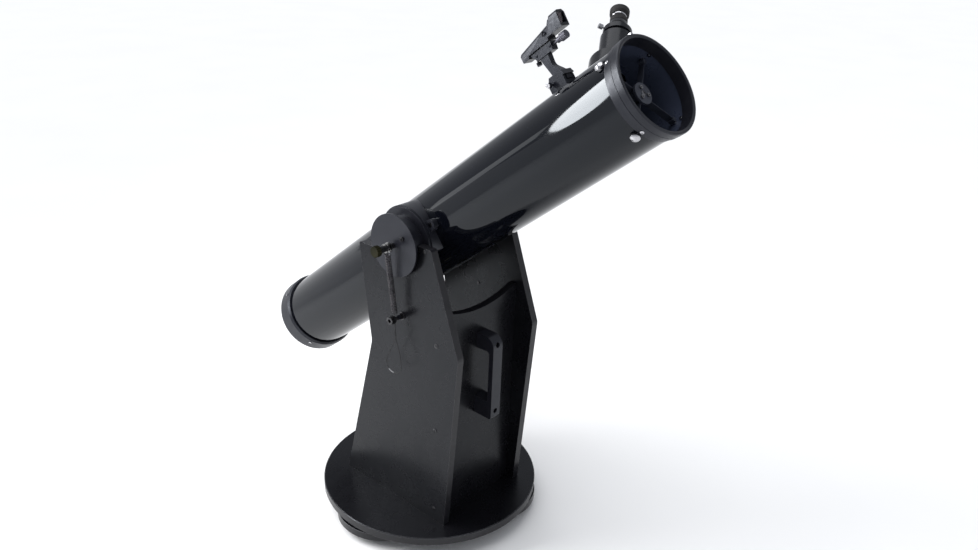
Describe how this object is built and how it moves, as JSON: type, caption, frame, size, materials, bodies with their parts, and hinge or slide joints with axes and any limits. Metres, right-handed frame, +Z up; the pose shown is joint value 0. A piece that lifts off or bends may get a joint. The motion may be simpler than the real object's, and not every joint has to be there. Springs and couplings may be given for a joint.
{
  "type": "dobsonian telescope",
  "caption": "Black Newtonian reflector tube tilting on spring-loaded side bearings in a turning rocker base, with rack focuser, eyepiece, reflex finder and carry handle.",
  "frame": {"origin": "on the azimuth axis, at floor level under the feet", "axes": "+Z up along the azimuth axis; the tube's front points to -Y and up; the altitude axis is parallel to X, with the focuser on the +X side"},
  "size_m": [0.523, 1.0765, 1.2046],
  "materials": {
    "black_laminate": "black melamine laminate on board, matt with lighter edge banding",
    "rubber": "matt moulded rubber",
    "zinc_steel": "zinc plated",
    "bearing_plastic": "white low-friction plastic",
    "black_screws": "black oxide",
    "black_plastic": "satin moulded plastic",
    "spring_steel": "dark spring wire",
    "black_cord": "braided cord",
    "bright_washers": "bright washers on a dark spacer",
    "tube_paint": "gloss black enamel outside, matt inside",
    "flat_black_metal": "matt black",
    "chrome": "polished",
    "mirror_coating": "front-surface coating",
    "clip_plastic": "soft black plastic",
    "black_anodised": "satin black anodised",
    "coated_glass": "coated"
  },
  "bodies": {
    "ground": {"ground_board": "black_laminate", "rubber_feet": "rubber", "foot_screws": "zinc_steel", "azimuth_pads": "bearing_plastic", "azimuth_bolt": "zinc_steel", "azimuth_nut": "zinc_steel"},
    "rocker": {"azimuth_bush": "bearing_plastic", "rocker_disc": "black_laminate", "left_side_panel": "black_laminate", "right_side_panel": "black_laminate", "front_board": "black_laminate", "board_screws": "black_screws", "altitude_pads": "bearing_plastic", "carry_handle": "black_plastic", "anchor_bolts": "zinc_steel", "anchor_spacers": "black_plastic", "tension_springs": "spring_steel", "left_pull_cord": "black_cord", "right_pull_cord": "black_cord"},
    "tube": {"left_bearing": "black_plastic", "right_bearing": "black_plastic", "bearing_bolts": "black_screws", "spring_posts": "zinc_steel", "post_spacers": "bright_washers", "optical_tube": "tube_paint", "front_ring": "black_plastic", "rear_ring": "black_plastic", "tube_screws": "chrome", "mirror_cell": "flat_black_metal", "primary_mirror": "mirror_coating", "mirror_clips": "clip_plastic", "collimation_springs": "zinc_steel", "cell_lock_screws": "chrome", "spider_vanes": "flat_black_metal", "spider_hub": "flat_black_metal", "vane_nuts": "chrome", "secondary_holder": "flat_black_metal", "secondary_mirror": "mirror_coating", "secondary_screws": "chrome", "focuser_base": "black_anodised", "finder_shoe": "black_anodised"},
    "left_post_knob": {"left_post_knob": "black_plastic"},
    "right_post_knob": {"right_post_knob": "black_plastic"},
    "collimation_knob_1": {"collimation_knob_1": "black_plastic"},
    "collimation_knob_2": {"collimation_knob_2": "black_plastic"},
    "collimation_knob_3": {"collimation_knob_3": "black_plastic"},
    "drawtube": {"focuser_drawtube": "black_anodised", "eyepiece_holder": "black_anodised"},
    "focus_knobs": {"focus_knobs": "black_plastic"},
    "focuser_lock_screw": {"focuser_lock_screw": "chrome"},
    "holder_screw": {"holder_screw": "chrome"},
    "eyepiece": {"eyepiece_body": "black_anodised", "eyepiece_lenses": "coated_glass", "eyepiece_eyecup": "rubber"},
    "finder": {"finder_bracket": "black_plastic", "finder_body": "black_plastic", "finder_lens": "coated_glass", "finder_screws": "chrome"},
    "finder_knob": {"finder_knob": "chrome"},
    "finder_shoe_screw": {"finder_shoe_screw": "chrome"}
  },
  "joints": [
    {"name": "azimuth", "type": "hinge", "parent": "ground", "child": "rocker", "pos_m": [0, 0, 0.05], "axis": [0, 0, 1], "continuous": true},
    {"name": "altitude", "type": "hinge", "parent": "rocker", "child": "tube", "pos_m": [0, -0.026, 0.709], "axis": [-1, 0, 0], "range_deg": [-42, 51]},
    {"name": "left_knob_turn", "type": "hinge", "parent": "tube", "child": "left_post_knob", "pos_m": [-0.195, -0.026, 0.709], "axis": [-1, 0, 0], "range_deg": [0, 720]},
    {"name": "right_knob_turn", "type": "hinge", "parent": "tube", "child": "right_post_knob", "pos_m": [0.195, -0.026, 0.709], "axis": [1, 0, 0], "range_deg": [0, 720]},
    {"name": "collimation_1", "type": "hinge", "parent": "tube", "child": "collimation_knob_1", "pos_m": [0, 0.47446, 0.37837], "axis": [0, 0.7771, -0.6293], "range_deg": [-360, 360]},
    {"name": "collimation_2", "type": "hinge", "parent": "tube", "child": "collimation_knob_2", "pos_m": [-0.05023, 0.41971, 0.31076], "axis": [0, 0.7771, -0.6293], "range_deg": [-360, 360]},
    {"name": "collimation_3", "type": "hinge", "parent": "tube", "child": "collimation_knob_3", "pos_m": [0.05023, 0.41971, 0.31076], "axis": [0, 0.7771, -0.6293], "range_deg": [-360, 360]},
    {"name": "focus_turn", "type": "hinge", "parent": "tube", "child": "focus_knobs", "pos_m": [0.13011, -0.37361, 1.09967], "axis": [0, 0.7771, -0.6293], "range_deg": [-77, 287]},
    {"name": "focus_travel", "type": "slide", "parent": "tube", "child": "drawtube", "axis": [0.7071, 0.445, 0.5495], "range_m": [-0.008, 0.03]},
    {"name": "focus_lock_turn", "type": "hinge", "parent": "tube", "child": "focuser_lock_screw", "pos_m": [0.12587, -0.37733, 1.15546], "axis": [0, -0.7771, 0.6293], "range_deg": [-30, 360]},
    {"name": "holder_screw_turn", "type": "hinge", "parent": "drawtube", "child": "holder_screw", "pos_m": [0.12739, -0.31077, 1.16329], "axis": [-0.683, 0.631, 0.3679], "range_deg": [-30, 360]},
    {"name": "eyepiece_lift", "type": "slide", "parent": "drawtube", "child": "eyepiece", "axis": [0.7071, 0.445, 0.5495], "range_m": [0, 0.035]},
    {"name": "finder_slide", "type": "slide", "parent": "tube", "child": "finder", "axis": [0, -0.7771, 0.6293], "range_m": [0, 0.045]},
    {"name": "finder_switch", "type": "hinge", "parent": "finder", "child": "finder_knob", "pos_m": [0, -0.3188, 1.16099], "axis": [0, -0.7771, 0.6293], "range_deg": [0, 300]},
    {"name": "finder_screw_turn", "type": "hinge", "parent": "tube", "child": "finder_shoe_screw", "pos_m": [-0.025, -0.31245, 1.0735], "axis": [-1, 0, 0], "range_deg": [-30, 360]}
  ],
  "couplings": [
    {"joint": "focus_turn", "follows": "focus_travel", "rad_per_m": 166.67}
  ]
}
